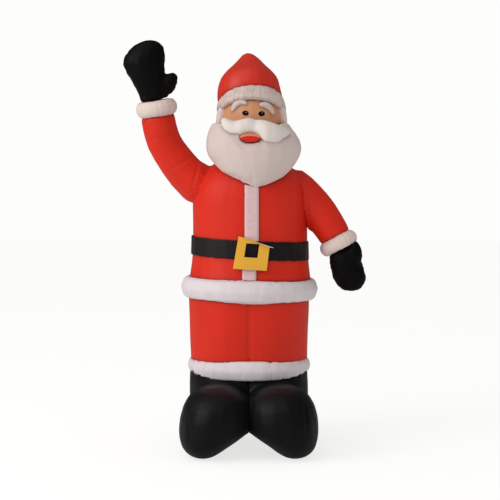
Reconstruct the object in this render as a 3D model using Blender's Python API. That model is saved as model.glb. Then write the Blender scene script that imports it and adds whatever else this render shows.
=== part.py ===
"""Waving inflatable Santa, 2.42 m tall.

Units are metres, +Z is up and the figure faces -Y, so its right hand is on the -X side.
Everything is first modelled about the upright axis through the coat, and at the end one empty
carries all the pieces so that the origin is the middle of the bounding box, at the floor.
The figure is sewn from separate panels that air fills tight, and each panel is one solid.
"""
import math

import bmesh
import bpy
from mathutils import Matrix, Vector

# Space left between two pieces that touch
GAP = 0.0003

# Coat: a tube with a flared hem and domed shoulders
CHEST_HALF_WIDTH = 0.344
CHEST_HALF_DEPTH = 0.280
COAT_HEM_HALF_WIDTH = 0.376
COAT_HEM_HALF_DEPTH = 0.326
COAT_BOTTOM_Z = 0.923
COAT_FLARE_TOP_Z = 1.160
SHOULDER_START_Z = 1.450
COAT_TOP_Z = 1.730
SHOULDER_POWER = 2.4

# Trousers: one tube with a crease down the front and the back
LEGS_X = -0.006
TROUSER_TOP_HALF_WIDTH = 0.364
TROUSER_TOP_HALF_DEPTH = 0.312
TROUSER_BOTTOM_HALF_WIDTH = 0.348
TROUSER_BOTTOM_HALF_DEPTH = 0.292
TROUSER_BOTTOM_Z = 0.466
CREASE_DEPTH = 0.022
CREASE_SPREAD = 0.24

# Fat white trims: outer half width, outer half depth, height and thickness of the tube
HEM_TRIM_HALF_WIDTH = 0.413
HEM_TRIM_HALF_DEPTH = 0.356
HEM_TRIM_HEIGHT = 0.148
HEM_TRIM_Z = 0.944
HEM_TRIM_THICKNESS = 0.112
HEM_TRIM_TILT = math.radians(1.2)
TROUSER_TRIM_HALF_WIDTH = 0.372
TROUSER_TRIM_HALF_DEPTH = 0.330
TROUSER_TRIM_HEIGHT = 0.134
TROUSER_TRIM_THICKNESS = 0.085
TROUSER_TRIM_Z = 0.478

# Boots: a round toe, a round heel and the leg that the trousers sit on
TOE_EDGES = (
    # height, then how far the toe's two sides are from the gap between the boots
    (0.000, 0.214, 0.308),
    (0.013, 0.182, 0.348),
    (0.044, 0.138, 0.378),
    (0.088, 0.082, 0.397),
    (0.140, 0.000, 0.405),
    (0.230, -0.020, 0.398),
    (0.310, -0.012, 0.372),
    (0.362, 0.020, 0.330),
    (0.396, 0.080, 0.268),
    (0.407, 0.130, 0.210),
)
TOE_ROWS = 12
TOE_CENTRE_Y = -0.335
TOE_HALF_DEPTH = 0.268
TOE_WIDEST_Z = 0.185
TOE_SQUARENESS = 2.5
HEEL_RADIUS = Vector((0.186, 0.215, 0.206))
HEEL_CENTRE = Vector((0.176, 0.080, 0.191))
HEEL_ROLL = 0.020
BOOT_LEG_HALF_WIDTH = 0.358
BOOT_LEG_HALF_DEPTH = 0.294
BOOT_LEG_BOTTOM_Z = 0.180

# Belt and buckle
BELT_Z = 1.184
BELT_HEIGHT = 0.112
BELT_THICKNESS = 0.007
BELT_TILT = math.radians(2.8)
BUCKLE_WIDTH = 0.192
BUCKLE_HEIGHT = 0.188
BUCKLE_HOLE_WIDTH = 0.076
BUCKLE_HOLE_HEIGHT = 0.076
BUCKLE_THICKNESS = 0.006
BUCKLE_LEAN = math.radians(8.5)
BUCKLE_TURN = math.radians(-4.0)
BUCKLE_X = 0.006
BUCKLE_TOP_Z = 1.266
BUCKLE_CLEARANCE = 0.003

# White band down the coat's front
FRONT_TRIM_WIDTH = 0.086
FRONT_TRIM_THICKNESS = 0.014
FRONT_TRIM_TUCK = 0.003
FRONT_TRIM_UPPER_X = 0.010
FRONT_TRIM_LOWER_X = -0.004
FRONT_TRIM_TOP_Z = 1.630

# Raised right sleeve, from inside the shoulder to the wrist: point and radius
RIGHT_SLEEVE = (
    (Vector((-0.160, 0.000, 1.528)), 0.136),
    (Vector((-0.251, 0.000, 1.546)), 0.142),
    (Vector((-0.347, -0.005, 1.592)), 0.118),
    (Vector((-0.436, -0.012, 1.694)), 0.109),
    (Vector((-0.502, -0.020, 1.796)), 0.104),
    (Vector((-0.532, -0.028, 1.885)), 0.103),
    (Vector((-0.546, -0.035, 1.966)), 0.101),
)
# Hanging left sleeve
LEFT_SLEEVE = (
    (Vector((0.160, 0.000, 1.580)), 0.108),
    (Vector((0.246, 0.000, 1.546)), 0.119),
    (Vector((0.338, -0.010, 1.473)), 0.114),
    (Vector((0.417, -0.025, 1.387)), 0.107),
    (Vector((0.483, -0.040, 1.293)), 0.099),
    (Vector((0.508, -0.045, 1.249)), 0.096),
)
SLEEVE_SIDES = 16
SLEEVE_STOPS = 11

# Cuffs: length along the arm, and how far the middle swells past the wrist
RIGHT_CUFF_LENGTH = 0.094
LEFT_CUFF_LENGTH = 0.082
RIGHT_CUFF_RADIUS = 0.125
LEFT_CUFF_RADIUS = 0.120
CUFF_END_SHARE = 0.80

# Mittens from the wrist to the tip: height, then the place of the two sides
RIGHT_MITTEN_EDGES = (
    (2.030, -0.646, -0.474),
    (2.090, -0.667, -0.486),
    (2.150, -0.696, -0.494),
    (2.215, -0.734, -0.497),
    (2.275, -0.757, -0.497),
    (2.325, -0.741, -0.498),
    (2.368, -0.705, -0.504),
    (2.398, -0.664, -0.524),
    (2.415, -0.622, -0.556),
)
LEFT_MITTEN_EDGES = (
    (1.225, 0.456, 0.594),
    (1.180, 0.460, 0.624),
    (1.124, 0.467, 0.662),
    (1.065, 0.476, 0.683),
    (1.010, 0.490, 0.695),
    (0.968, 0.510, 0.685),
    (0.937, 0.545, 0.656),
    (0.928, 0.576, 0.624),
)
MITTEN_ROWS = 11
RIGHT_MITTEN_Y = -0.038
RIGHT_MITTEN_HALF_DEPTH = 0.086
LEFT_MITTEN_Y = -0.052
LEFT_MITTEN_HALF_DEPTH = 0.082
THUMB_RADIUS = Vector((0.052, 0.048, 0.086))
RIGHT_THUMB = (Vector((-0.484, -0.040, 2.148)), math.radians(32))
LEFT_THUMB = (Vector((0.617, -0.084, 1.158)), math.radians(-14))

# Head: a ball, its front the face and its back the white hair
HEAD_X = 0.009
HEAD_CENTRE_Y = -0.030
HEAD_CENTRE_Z = 1.910
HEAD_RADIUS = Vector((0.192, 0.200, 0.262))
HAIR_PUFF = 0.024
FACE_PLANE_Y = -0.102

# Hat and its rolled brim, which tips up at the front
BRIM_CENTRE = Vector((0.007, -0.020, 2.030))
BRIM_HALF_WIDTH = 0.209
BRIM_HALF_DEPTH = 0.222
BRIM_HEIGHT = 0.120
BRIM_THICKNESS = 0.086
BRIM_TILT = math.radians(25.5)
HAT_EDGES = (
    # height, then the two sides: the right side of the tip falls in a straight line
    (2.030, -0.190, 0.194),
    (2.090, -0.197, 0.191),
    (2.145, -0.190, 0.178),
    (2.196, -0.167, 0.163),
    (2.245, -0.124, 0.113),
    (2.290, -0.080, 0.072),
    (2.322, -0.054, 0.036),
    (2.338, -0.034, 0.012),
)
HAT_ROWS = 9
HAT_DEPTH_SHARE = 1.04
HAT_LEAN_BACK = 0.055

# Beard: it lies on the chest, wide at the cheeks, with a blunt point below
BEARD_EDGES = (
    # height, then the two sides of the sewn outline
    (1.516, 0.010, 0.066),
    (1.545, -0.040, 0.110),
    (1.585, -0.104, 0.186),
    (1.626, -0.168, 0.224),
    (1.680, -0.207, 0.263),
    (1.735, -0.247, 0.295),
    (1.790, -0.260, 0.304),
    (1.845, -0.252, 0.281),
    (1.890, -0.239, 0.246),
    (1.925, -0.216, 0.226),
)
BEARD_ROWS = 12
BEARD_WIDEST_Z = 1.785
BEARD_CENTRE_Y = -0.150
BEARD_HALF_DEPTH = 0.200
OPENING_HALF_WIDTH = 0.176
OPENING_HALF_HEIGHT = 0.106
OPENING_Z = 1.960

# Moustache: two fat lobes, the left one as seen a little higher
MOUSTACHE_LINE = (
    # across, height and half thickness, from the curled end to the pointed one
    (-0.166, 1.924, 0.023),
    (-0.147, 1.910, 0.042),
    (-0.121, 1.896, 0.043),
    (-0.092, 1.886, 0.042),
    (-0.052, 1.891, 0.047),
    (-0.013, 1.901, 0.047),
    (0.012, 1.901, 0.040),
    (0.032, 1.893, 0.039),
    (0.058, 1.880, 0.055),
    (0.092, 1.868, 0.063),
    (0.144, 1.859, 0.056),
    (0.179, 1.852, 0.046),
    (0.210, 1.855, 0.032),
    (0.228, 1.860, 0.016),
)
MOUSTACHE_MIDDLE_X = 0.032
MOUSTACHE_DEPTH_SHARE = 1.15
MOUSTACHE_Y = -0.292
MOUSTACHE_WRAP = 1.05

# Mouth: a flat cushion in the beard, its upper part under the moustache
MOUTH_X = 0.003
MOUTH_Z = 1.838
MOUTH_HALF_WIDTH = 0.062
MOUTH_HALF_HEIGHT = 0.031
MOUTH_STOPS = (
    # how far forward, and the share of the full size there
    (-0.200, 1.00),
    (-0.341, 1.00),
    (-0.349, 0.86),
    (-0.353, 0.45),
)

# Eyebrows
EYEBROW_RADIUS = 0.0190
EYEBROW_SINK = -0.006
RIGHT_EYEBROW = ((-0.100, 1.990), (-0.082, 2.024), (-0.053, 2.043), (-0.018, 2.032))
LEFT_EYEBROW = ((0.055, 2.024), (0.086, 2.026), (0.112, 2.008), (0.134, 1.974))

# Colours in linear light, with roughness
RED = ((0.52, 0.018, 0.008), 0.55)
WHITE = ((0.66, 0.60, 0.62), 0.62)
WARM_WHITE = ((0.68, 0.61, 0.58), 0.62)
BLACK = ((0.008, 0.008, 0.010), 0.45)
SKIN = ((0.55, 0.27, 0.18), 0.60)
YELLOW = ((0.70, 0.33, 0.03), 0.50)
LIP_RED = ((0.45, 0.010, 0.006), 0.55)


def clear_scene():
    for thing in list(bpy.data.objects):
        bpy.data.objects.remove(thing, do_unlink=True)


def new_collection(name):
    group = bpy.data.collections.new(name)
    bpy.context.scene.collection.children.link(group)
    return group


clear_scene()
PIECES = new_collection("inflatable_santa")
GUIDES = new_collection("cutters")


def material(name, finish):
    colour, roughness = finish
    made = bpy.data.materials.new(name + "_fabric")
    made.use_nodes = True
    shader = made.node_tree.nodes["Principled BSDF"]
    shader.inputs["Base Color"].default_value = (*colour, 1.0)
    shader.inputs["Roughness"].default_value = roughness
    shader.inputs["Metallic"].default_value = 0.0
    return made


def object_from_bmesh(name, mesh_data, finish):
    """Make a piece from a bmesh, in triangles, its faces turned outwards and shaded smooth."""
    bmesh.ops.recalc_face_normals(mesh_data, faces=mesh_data.faces)
    bmesh.ops.triangulate(mesh_data, faces=mesh_data.faces)
    mesh = bpy.data.meshes.new(name)
    mesh_data.to_mesh(mesh)
    mesh_data.free()
    piece = bpy.data.objects.new(name, mesh)
    piece.data.materials.append(material(name, finish))
    PIECES.objects.link(piece)
    shade(piece)
    return piece


def shade(piece, angle=math.radians(40)):
    piece.data.shade_smooth()
    piece.data.set_sharp_from_angle(angle=angle)


def ring(bm, centre, across, deep, sides, power=2.0, dent=None):
    """One closed row of vertices round a centre; dent(angle) moves a vertex inwards."""
    row = []
    for step in range(sides):
        angle = 2.0 * math.pi * step / sides
        reach_across = math.copysign(abs(math.cos(angle)) ** (2.0 / power), math.cos(angle))
        reach_deep = math.copysign(abs(math.sin(angle)) ** (2.0 / power), math.sin(angle))
        keep = 1.0 - (dent(angle) if dent else 0.0)
        row.append(bm.verts.new(centre + across * reach_across * keep + deep * reach_deep * keep))
    return row


def loft(name, sections, sides, finish, power=2.0, dent=None):
    """A closed body through rings given as (centre, across, deep), with its ends filled."""
    bm = bmesh.new()
    rows = [ring(bm, *section, sides, power, dent) for section in sections]
    for lower, upper in zip(rows, rows[1:]):
        for step in range(sides):
            after = (step + 1) % sides
            bm.faces.new((lower[step], lower[after], upper[after], upper[step]))
    bm.faces.new(rows[0])
    bm.faces.new(rows[-1])
    return object_from_bmesh(name, bm, finish)


def upright(x, y, z, half_width, half_depth, tilt=0.0):
    """A level section, or one whose front is tipped up by tilt."""
    deep = Vector((0.0, half_depth * math.cos(tilt), -half_depth * math.sin(tilt)))
    return Vector((x, y, z)), Vector((half_width, 0.0, 0.0)), deep


def panel_rows(edges, count):
    """Even rows between two sewn edges: height, middle and half width of each."""
    return [(z, (left + right) / 2, (right - left) / 2)
            for z, left, right in smooth_line([Vector(edge) for edge in edges], count)]


def ball(bm, centre, radius, sides, rows, matrix=Matrix()):
    placing = Matrix.Translation(centre) @ matrix @ Matrix.Diagonal((*radius, 1.0))
    made = bmesh.ops.create_uvsphere(bm, u_segments=sides, v_segments=rows, radius=1.0,
                                     matrix=placing)
    return made["verts"]


def slice_off(bm, point, normal):
    """Cut away everything on the normal's side of a plane and close the cut."""
    everything = bm.verts[:] + bm.edges[:] + bm.faces[:]
    bmesh.ops.bisect_plane(bm, geom=everything, dist=1e-7, plane_co=point, plane_no=normal,
                           clear_outer=True)
    rim = [edge for edge in bm.edges if edge.is_boundary]
    bmesh.ops.holes_fill(bm, edges=rim, sides=len(rim))


def smooth_line(points, count):
    """Points spread along a Catmull-Rom curve through the given vectors."""
    guard = [2 * points[0] - points[1], *points, 2 * points[-1] - points[-2]]
    line = []
    for step in range(count):
        place = step * (len(points) - 1) / (count - 1)
        span = min(int(place), len(points) - 2)
        t = place - span
        before, start, end, after = guard[span:span + 4]
        line.append(0.5 * (2 * start + (end - before) * t
                           + (2 * before - 5 * start + 4 * end - after) * t ** 2
                           + (3 * start - before - 3 * end + after) * t ** 3))
    return line


def tube(name, stops, count, finish, resolution):
    """A curve with a round bevel whose radius changes along it, made a closed mesh."""
    packed = [Vector((*point, radius)) for point, radius in stops]
    curve = bpy.data.curves.new(name, "CURVE")
    curve.dimensions = "3D"
    curve.bevel_depth = 1.0
    curve.bevel_resolution = resolution
    curve.use_fill_caps = True
    spline = curve.splines.new("POLY")
    spline.points.add(count - 1)
    for point, stop in zip(spline.points, smooth_line(packed, count)):
        point.co = (*stop[:3], 1.0)
        point.radius = stop[3]
    holder = bpy.data.objects.new(name, curve)
    PIECES.objects.link(holder)
    bpy.context.view_layer.update()
    solved = holder.evaluated_get(bpy.context.evaluated_depsgraph_get())
    bm = bmesh.new()
    bm.from_mesh(bpy.data.meshes.new_from_object(solved))
    bmesh.ops.remove_doubles(bm, verts=bm.verts, dist=1e-5)
    bpy.data.objects.remove(holder, do_unlink=True)
    return object_from_bmesh(name, bm, finish)


def keep_largest(piece):
    """Drop the crumbs that a cut leaves beside the piece itself."""
    bm = bmesh.new()
    bm.from_mesh(piece.data)
    islands = []
    waiting = set(bm.verts)
    while waiting:
        island = {waiting.pop()}
        edge_of_island = list(island)
        while edge_of_island:
            vert = edge_of_island.pop()
            for link in vert.link_edges:
                other = link.other_vert(vert)
                if other not in island:
                    island.add(other)
                    edge_of_island.append(other)
        waiting -= island
        islands.append(island)
    biggest = max(islands, key=lambda island: spread(island))
    crumbs = [vert for island in islands if island is not biggest for vert in island]
    bmesh.ops.delete(bm, geom=crumbs, context="VERTS")
    bm.to_mesh(piece.data)
    bm.free()


def spread(verts):
    """Diagonal of the box round some vertices."""
    corners = [[getattr(vert.co, axis) for vert in verts] for axis in "xyz"]
    return math.sqrt(sum((max(values) - min(values)) ** 2 for values in corners))


def bake(piece):
    """Turn a piece's modifiers into mesh."""
    bpy.context.view_layer.update()
    solved = piece.evaluated_get(bpy.context.evaluated_depsgraph_get())
    mesh = bpy.data.meshes.new_from_object(solved)
    piece.modifiers.clear()
    piece.data = mesh


def boolean(piece, tool, operation):
    change = piece.modifiers.new(operation.lower() + "_" + tool.name, "BOOLEAN")
    change.operation = operation
    change.solver = "EXACT"
    change.object = tool


def guide(source, name, swell=0.0):
    """A hidden copy of a piece to cut with, swollen all round by a gap."""
    copy = bpy.data.objects.new(name, source.data.copy())
    GUIDES.objects.link(copy)
    copy.hide_render = True
    copy.display_type = "WIRE"
    if swell:
        grow = copy.modifiers.new("gap", "DISPLACE")
        grow.direction = "NORMAL"
        grow.mid_level = 0.0
        grow.strength = swell
    return copy


def seat(piece, *neighbours):
    """Cut a piece back to fit against its neighbours, a gap away from each."""
    for neighbour in neighbours:
        boolean(piece, guide(neighbour, f"{piece.name}_past_{neighbour.name}", GAP), "DIFFERENCE")
        bake(piece)
    keep_largest(piece)
    shade(piece)


def join(piece, *others):
    for other in others:
        boolean(piece, other, "UNION")
    bake(piece)
    for other in others:
        bpy.data.objects.remove(other, do_unlink=True)
    shade(piece)


def dome(height, bottom, top, power):
    """Share of the full width left at a height on a rounded top."""
    rise = min(max((height - bottom) / (top - bottom), 0.0), 1.0)
    return (1.0 - rise ** power) ** (1.0 / power)


def coat_half_size(z, swell=0.0):
    """Half width and half depth of the coat at a height."""
    flare = min(max((COAT_FLARE_TOP_Z - z) / (COAT_FLARE_TOP_Z - COAT_BOTTOM_Z), 0.0), 1.0) ** 1.2
    shoulder = dome(z, SHOULDER_START_Z, COAT_TOP_Z, SHOULDER_POWER)
    width = CHEST_HALF_WIDTH + (COAT_HEM_HALF_WIDTH - CHEST_HALF_WIDTH) * flare
    depth = CHEST_HALF_DEPTH + (COAT_HEM_HALF_DEPTH - CHEST_HALF_DEPTH) * flare
    return width * shoulder + swell, depth * shoulder + swell


def make_coat():
    lower = [COAT_BOTTOM_Z + (SHOULDER_START_Z - COAT_BOTTOM_Z) * step / 6 for step in range(6)]
    rise = COAT_TOP_Z - SHOULDER_START_Z
    upper = [SHOULDER_START_Z + rise * math.sin(math.radians(angle)) for angle in range(0, 85, 14)]
    sections = [upright(0.0, 0.0, z, *coat_half_size(z)) for z in lower + upper]
    return loft("coat", sections, 28, RED, power=2.1)


def make_trousers():
    """The crease marks where the two legs meet, at the front and at the back."""
    def crease(angle):
        off_middle = math.cos(angle)
        return CREASE_DEPTH / TROUSER_TOP_HALF_DEPTH * math.exp(-(off_middle / CREASE_SPREAD) ** 2)

    sections = []
    top = COAT_BOTTOM_Z - GAP
    for step in range(4):
        share = step / 3
        z = TROUSER_BOTTOM_Z + (top - TROUSER_BOTTOM_Z) * share
        width = TROUSER_BOTTOM_HALF_WIDTH + (TROUSER_TOP_HALF_WIDTH - TROUSER_BOTTOM_HALF_WIDTH) * share
        depth = TROUSER_BOTTOM_HALF_DEPTH + (TROUSER_TOP_HALF_DEPTH - TROUSER_BOTTOM_HALF_DEPTH) * share
        sections.append(upright(LEGS_X, 0.0, z, width, depth))
    return loft("trousers", sections, 32, RED, power=2.1, dent=crease)


def make_roll(name, centre, half_width, half_depth, height, thickness, tilt, finish, sides, rows):
    """A fat ring: a torus flattened to an oval that goes round the figure."""
    path = half_width - thickness / 2
    bpy.ops.mesh.primitive_torus_add(major_segments=sides, minor_segments=rows,
                                     major_radius=path, minor_radius=thickness / 2)
    torus = bpy.context.object
    bm = bmesh.new()
    bm.from_mesh(torus.data)
    bpy.data.objects.remove(torus, do_unlink=True)
    oval = Matrix.Diagonal((1.0, half_depth / half_width, height / thickness, 1.0))
    bmesh.ops.transform(bm, verts=bm.verts, matrix=Matrix.Translation(centre) @ tilt @ oval)
    return object_from_bmesh(name, bm, finish)


def make_boot(name, side):
    """side is -1 for the figure's right boot and +1 for its left one."""
    sections = []
    for z, centre, half in panel_rows(TOE_EDGES, TOE_ROWS):
        reach = (z - TOE_WIDEST_Z) / (TOE_EDGES[-1][0] - TOE_WIDEST_Z if z > TOE_WIDEST_Z
                                      else TOE_WIDEST_Z * 1.06)
        depth = (1.0 - min(abs(reach), 0.985) ** TOE_SQUARENESS) ** (1.0 / TOE_SQUARENESS)
        sections.append(upright(LEGS_X + side * centre, TOE_CENTRE_Y, z, half,
                                TOE_HALF_DEPTH * depth))
    toe = loft(name, sections, 18, BLACK, power=2.3)

    bm = bmesh.new()
    middle = Vector((LEGS_X + side * HEEL_CENTRE.x, HEEL_CENTRE.y, HEEL_CENTRE.z))
    for vert in ball(bm, Vector(), Vector((1, 1, 1)), 14, 9):
        squarer = [math.copysign(abs(c) ** (2.0 / TOE_SQUARENESS), c) for c in vert.co]
        vert.co = middle + HEEL_RADIUS * Vector(squarer)
        vert.co.x -= side * HEEL_ROLL * squarer[2]
    slice_off(bm, Vector(), Vector((0, 0, -1)))
    heel = object_from_bmesh(name + "_heel", bm, BLACK)
    leg_sections = [upright(LEGS_X, 0.0, z, BOOT_LEG_HALF_WIDTH * share, BOOT_LEG_HALF_DEPTH * share)
                    for z, share in ((BOOT_LEG_BOTTOM_Z, 0.90),
                                     (BOOT_LEG_BOTTOM_Z + 0.06, 0.98),
                                     (BOOT_LEG_BOTTOM_Z + 0.12, 1.0),
                                     (TROUSER_BOTTOM_Z - GAP, 0.985))]
    leg = loft(name + "_leg", leg_sections, 24, BLACK, power=2.1)
    join(toe, heel, leg)
    bm = bmesh.new()
    bm.from_mesh(toe.data)
    slice_off(bm, Vector((LEGS_X + side * GAP / 2, 0, 0)), Vector((-side, 0, 0)))
    bmesh.ops.recalc_face_normals(bm, faces=bm.faces)
    bm.to_mesh(toe.data)
    bm.free()
    shade(toe)
    return toe


def make_ankle():
    """The tube that the trouser trim goes round, where the trousers meet the boots."""
    width = max(TROUSER_BOTTOM_HALF_WIDTH, BOOT_LEG_HALF_WIDTH)
    depth = max(TROUSER_BOTTOM_HALF_DEPTH, BOOT_LEG_HALF_DEPTH)
    half = TROUSER_TRIM_HEIGHT
    sections = [upright(LEGS_X, 0.0, z, width, depth)
                for z in (TROUSER_TRIM_Z - half, TROUSER_BOTTOM_Z + half / 8)]
    return loft("ankle", sections, 32, BLACK, power=2.1)


def make_sleeve(name, stops):
    return tube(name, stops, SLEEVE_STOPS, RED, SLEEVE_SIDES // 2 - 2)


def arm_end(stops):
    """Where a sleeve ends, and the way the arm points there."""
    line = smooth_line([point for point, radius in stops], SLEEVE_STOPS)
    return line[-1], (line[-1] - line[-2]).normalized()


def make_cuff(name, stops, length, swollen):
    """A barrel that carries on from the sleeve's end."""
    start, way = arm_end(stops)
    rings = []
    for share in (0.0, 0.10, 0.35, 0.65, 0.90, 1.0):
        bulge = CUFF_END_SHARE + (1.0 - CUFF_END_SHARE) * math.sin(math.pi * share) ** 0.6
        rings.append((start + way * (GAP + length * share), swollen * bulge))
    across = way.cross(Vector((0, 1, 0))).normalized()
    deep = way.cross(across).normalized()
    sections = [(point, across * radius, deep * radius) for point, radius in rings]
    return loft(name, sections, 20, WHITE)


def make_mitten(name, edges, y, half_depth, thumb):
    """A stuffed mitten that starts inside its cuff, with a stub of a thumb beside it."""
    widest = max(right - left for z, left, right in edges) / 2
    sections = [upright(x, y, z, half, half_depth * (half / widest) ** 0.8)
                for z, x, half in panel_rows(edges, MITTEN_ROWS)]
    mitten = loft(name, sections, 14, BLACK)
    bm = bmesh.new()
    place, lean = thumb
    ball(bm, place, THUMB_RADIUS, 12, 8, Matrix.Rotation(lean, 4, "Y"))
    join(mitten, object_from_bmesh(name + "_thumb", bm, BLACK))
    return mitten


def make_belt():
    """A flat band round the coat, a little higher on the figure's right."""
    sections = []
    for step in (-1, 1):
        z = BELT_Z + step * BELT_HEIGHT / 2
        width, depth = coat_half_size(z, BELT_THICKNESS)
        across = Vector((width, 0, -width * math.tan(BELT_TILT)))
        sections.append((Vector((0, 0, z)), across, Vector((0, depth, 0))))
    return loft("belt", sections, 32, BLACK, power=2.1)


def make_front_trim(name, x, bottom, top):
    """A puffed strip that follows the coat's front."""
    sections = []
    count = 9
    for step in range(count):
        z = bottom + (top - bottom) * step / (count - 1)
        front = -coat_half_size(z)[1]
        centre = Vector((x, front + 0.004, z))
        sections.append((centre, Vector((FRONT_TRIM_WIDTH / 2, 0, 0)),
                         Vector((0, FRONT_TRIM_THICKNESS + 0.004, 0))))
    return loft(name, sections, 12, WHITE, power=3.2)


def make_buckle():
    """A square frame cut from flat sheet, leaning out below the belt."""
    curve = bpy.data.curves.new("buckle", "CURVE")
    curve.dimensions = "2D"
    curve.fill_mode = "BOTH"
    curve.extrude = BUCKLE_THICKNESS / 2
    hole_x = BUCKLE_WIDTH * 0.03
    for width, height, shift in ((BUCKLE_WIDTH, BUCKLE_HEIGHT, 0.0),
                                 (BUCKLE_HOLE_WIDTH, BUCKLE_HOLE_HEIGHT, hole_x)):
        spline = curve.splines.new("POLY")
        spline.points.add(3)
        corners = ((-1, -1), (1, -1), (1, 1), (-1, 1))
        for point, (right, up) in zip(spline.points, corners):
            point.co = (shift + right * width / 2, up * height / 2, 0.0, 1.0)
        spline.use_cyclic_u = True
    holder = bpy.data.objects.new("buckle", curve)
    PIECES.objects.link(holder)
    bpy.context.view_layer.update()
    solved = holder.evaluated_get(bpy.context.evaluated_depsgraph_get())
    bm = bmesh.new()
    bm.from_mesh(bpy.data.meshes.new_from_object(solved))
    bpy.data.objects.remove(holder, do_unlink=True)
    bmesh.ops.remove_doubles(bm, verts=bm.verts, dist=1e-5)
    stand = Matrix.Rotation(math.pi / 2 - BUCKLE_LEAN, 4, "X")
    turn = Matrix.Rotation(BUCKLE_TURN, 4, "Y")
    belt_front = coat_half_size(BELT_Z + BELT_HEIGHT / 2)[1] + BELT_THICKNESS
    half_drop = BUCKLE_HEIGHT / 2 * math.cos(BUCKLE_LEAN)
    swing = BUCKLE_HEIGHT / 2 * math.sin(BUCKLE_LEAN)
    front = -belt_front - BUCKLE_CLEARANCE - BUCKLE_THICKNESS / 2 - swing
    place = Matrix.Translation((BUCKLE_X, front, BUCKLE_TOP_Z - half_drop))
    bmesh.ops.transform(bm, verts=bm.verts, matrix=place @ turn @ stand)
    return object_from_bmesh("buckle", bm, YELLOW)


def make_head_part(name, puff, keep_front, finish):
    """One side of the head ball, cut off at the plane where face and hair meet."""
    bm = bmesh.new()
    centre = Vector((HEAD_X, HEAD_CENTRE_Y, HEAD_CENTRE_Z))
    ball(bm, centre, HEAD_RADIUS + Vector((puff, puff, puff)), 22, 12)
    facing = 1.0 if keep_front else -1.0
    plane = Vector((0, FACE_PLANE_Y - facing * GAP / 2, 0))
    slice_off(bm, plane, Vector((0, facing, 0)))
    under_hat = Vector((0, math.sin(BRIM_TILT), math.cos(BRIM_TILT)))
    slice_off(bm, BRIM_CENTRE - under_hat * GAP, under_hat)
    return object_from_bmesh(name, bm, finish)


def make_hat():
    """A blunt cone on the tipped brim, straightening as it rises."""
    sections = []
    bottom, top = HAT_EDGES[0][0], HAT_EDGES[-1][0]
    for z, x, half in panel_rows(HAT_EDGES, HAT_ROWS):
        share = (z - bottom) / (top - bottom)
        sections.append(upright(x, BRIM_CENTRE.y + HAT_LEAN_BACK * share, z, half,
                                half * HAT_DEPTH_SHARE, BRIM_TILT * (1.0 - 0.7 * share)))
    return loft("hat", sections, 20, RED)


def make_beard():
    """Rows between the sewn edges, deepest at the cheeks, with an opening for the face."""
    sections = []
    bottom, top = BEARD_EDGES[0][0], BEARD_EDGES[-1][0]
    for z, x, half in panel_rows(BEARD_EDGES, BEARD_ROWS):
        if z < BEARD_WIDEST_Z:
            share = (BEARD_WIDEST_Z - z) / (BEARD_WIDEST_Z - bottom)
            depth = (1.0 - (0.985 * share) ** 2.4) ** 0.5
        else:
            share = 0.0
            depth = 1.0 - 0.31 * ((z - BEARD_WIDEST_Z) / (top - BEARD_WIDEST_Z)) ** 1.6
        sections.append(upright(x, BEARD_CENTRE_Y - 0.02 * share, z, half,
                                BEARD_HALF_DEPTH * depth))
    beard = loft("beard", sections, 20, WARM_WHITE)
    bm = bmesh.new()
    bmesh.ops.create_cone(bm, cap_ends=True, segments=28, radius1=1.0, radius2=1.0, depth=0.6,
                          matrix=Matrix.Translation((HEAD_X, FACE_PLANE_Y - 0.30, OPENING_Z))
                          @ Matrix.Diagonal((OPENING_HALF_WIDTH, 1.0, OPENING_HALF_HEIGHT, 1.0))
                          @ Matrix.Rotation(math.pi / 2, 4, "X"))
    opening = object_from_bmesh("face_opening", bm, SKIN)
    boolean(beard, opening, "DIFFERENCE")
    bake(beard)
    bpy.data.objects.remove(opening, do_unlink=True)
    return beard


def make_moustache():
    """Two lobes that meet in a notch: the right one curls up, the left one runs to a point."""
    sections = []
    for x, z, height in MOUSTACHE_LINE:
        y = MOUSTACHE_Y + MOUSTACHE_WRAP * (x - MOUSTACHE_MIDDLE_X) ** 2
        depth = MOUSTACHE_DEPTH_SHARE * height
        sections.append((Vector((x, y, z)), Vector((0, depth, 0)), Vector((0, 0, height))))
    return loft("moustache", sections, 12, WARM_WHITE)


def face_front(x, z):
    """How far forward the face's surface lies at a place seen from the front."""
    left = 1.0 - ((x - HEAD_X) / HEAD_RADIUS.x) ** 2 - ((z - HEAD_CENTRE_Z) / HEAD_RADIUS.z) ** 2
    return HEAD_CENTRE_Y - HEAD_RADIUS.y * math.sqrt(left)


def make_eyebrow(name, points):
    stops = []
    for number, (x, z) in enumerate(points):
        end = number in (0, len(points) - 1)
        radius = EYEBROW_RADIUS * (0.55 if end else 1.0)
        stops.append((Vector((x, face_front(x, z) - EYEBROW_SINK, z)), radius))
    return tube(name, stops, 7, WARM_WHITE, 2)


def cut_again(piece, other):
    """An exact cut, for the slivers that a seat in a curled rim leaves."""
    boolean(piece, guide(other, piece.name + "_past_" + other.name), "DIFFERENCE")
    bake(piece)
    keep_largest(piece)
    shade(piece)


def make_mouth():
    sections = []
    for y, share in MOUTH_STOPS:
        sections.append((Vector((MOUTH_X, y, MOUTH_Z)), Vector((MOUTH_HALF_WIDTH * share, 0, 0)),
                         Vector((0, 0, MOUTH_HALF_HEIGHT * share))))
    return loft("mouth", sections, 12, LIP_RED)


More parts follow.
